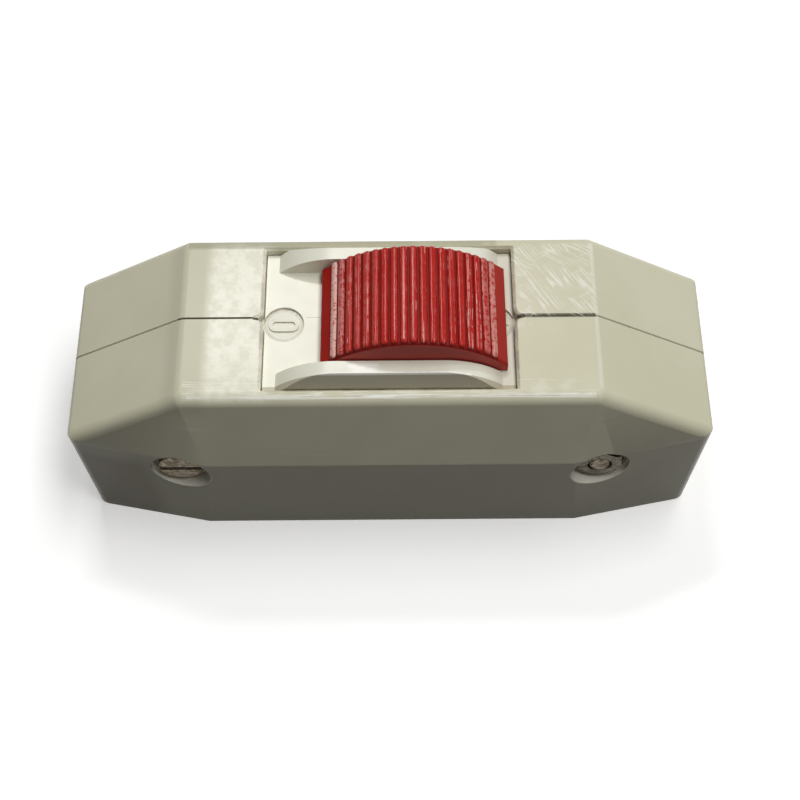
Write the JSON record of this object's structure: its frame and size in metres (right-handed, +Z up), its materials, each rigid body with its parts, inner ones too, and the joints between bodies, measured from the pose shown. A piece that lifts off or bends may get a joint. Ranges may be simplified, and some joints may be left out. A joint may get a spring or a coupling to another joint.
{
  "type": "inline cord switch",
  "caption": "Inline mains cord switch: faceted two-half housing on long screws, white switch module with a ribbed red thumb slider between arched rails.",
  "frame": {"origin": "centre of the underside", "axes": "+X along the switch and the cord, +Y across it, +Z up, out of the face with the slider"},
  "size_m": [0.0906, 0.0338, 0.0372],
  "materials": {
    "housing_plastic": "satin, aged off-white",
    "white_plastic": "gloss, white",
    "red_plastic": "gloss, dark red",
    "dark_moulding": "matt",
    "clamp_plastic": "matt",
    "contact_brass": "bright",
    "terminal_brass": "satin",
    "spring_steel": "bright",
    "small_screws": "satin",
    "housing_screws": "dulled, brownish",
    "housing_nuts": "dulled, brownish"
  },
  "bodies": {
    "housing": {"front_shell": "housing_plastic", "rear_shell": "housing_plastic", "switch_body": "white_plastic", "module_cover": "white_plastic", "detent_spring": "spring_steel", "earth_connector": "terminal_brass", "earth_screws": "small_screws", "fixed_contact_front_left": "contact_brass", "terminal_block_front_left": "terminal_brass", "terminal_screw_front_left": "small_screws", "fixed_contact_front_right": "contact_brass", "terminal_block_front_right": "terminal_brass", "terminal_screw_front_right": "small_screws", "fixed_contact_rear_left": "contact_brass", "terminal_block_rear_left": "terminal_brass", "terminal_screw_rear_left": "small_screws", "fixed_contact_rear_right": "contact_brass", "terminal_block_rear_right": "terminal_brass", "terminal_screw_rear_right": "small_screws", "cable_clamp_left": "clamp_plastic", "clamp_screws_left": "small_screws", "housing_screw_left": "housing_screws", "housing_nut_left": "housing_nuts", "cable_clamp_right": "clamp_plastic", "clamp_screws_right": "small_screws", "housing_screw_right": "housing_screws", "housing_nut_right": "housing_nuts"},
    "thumb": {"slider": "red_plastic", "contact_carrier": "dark_moulding", "contact_bridge_front": "contact_brass", "contact_bridge_rear": "contact_brass", "contact_spring_front": "spring_steel", "contact_spring_rear": "spring_steel"}
  },
  "joints": [
    {"name": "slider_slide", "type": "slide", "parent": "housing", "child": "thumb", "axis": [1, 0, 0], "range_m": [-0.0068, 0], "deforming": ["detent_spring"]}
  ]
}
